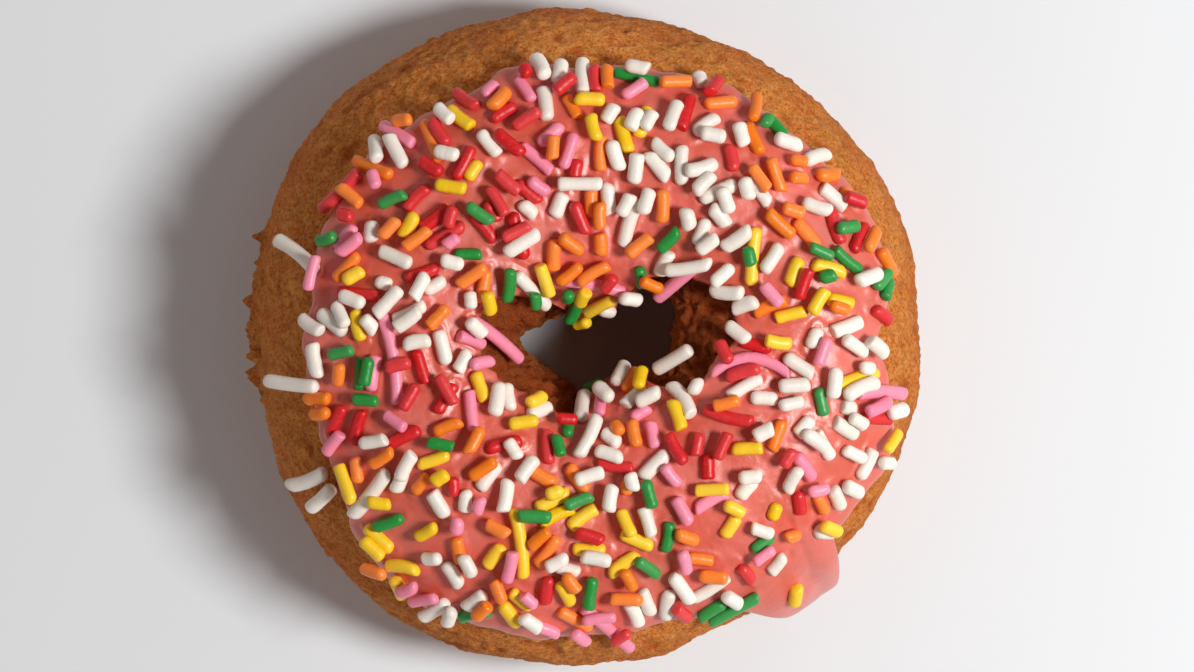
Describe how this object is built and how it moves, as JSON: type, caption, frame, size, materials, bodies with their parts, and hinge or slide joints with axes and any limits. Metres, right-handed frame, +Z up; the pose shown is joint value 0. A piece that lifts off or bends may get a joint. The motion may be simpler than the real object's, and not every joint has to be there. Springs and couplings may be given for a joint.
{
  "type": "sprinkle frosted doughnut",
  "caption": "Fried ring of cake with a slanted hole, a skin of pink icing that runs over the rim at one place, and rod sprinkles fused to the icing.",
  "frame": {"origin": "on the surface that the doughnut rests on, under the middle of its outline's box", "axes": "+Z up out of the iced top; seen from above, +X is the picture's right and +Y its top"},
  "size_m": [0.0894, 0.0877, 0.0367],
  "materials": {
    "crust": "fried cake crust, matte and finely grained, golden brown",
    "icing": "set sugar icing, glossy salmon pink",
    "sprinkle_white": "sugar sprinkle, satin white",
    "sprinkle_red": "sugar sprinkle, glossy red",
    "sprinkle_orange": "sugar sprinkle, satin orange",
    "sprinkle_pink": "sugar sprinkle, satin pink",
    "sprinkle_yellow": "sugar sprinkle, satin yellow",
    "sprinkle_green": "sugar sprinkle, glossy green"
  },
  "bodies": {
    "root": {"dough": "crust", "icing": "icing"}
  },
  "joints": []
}
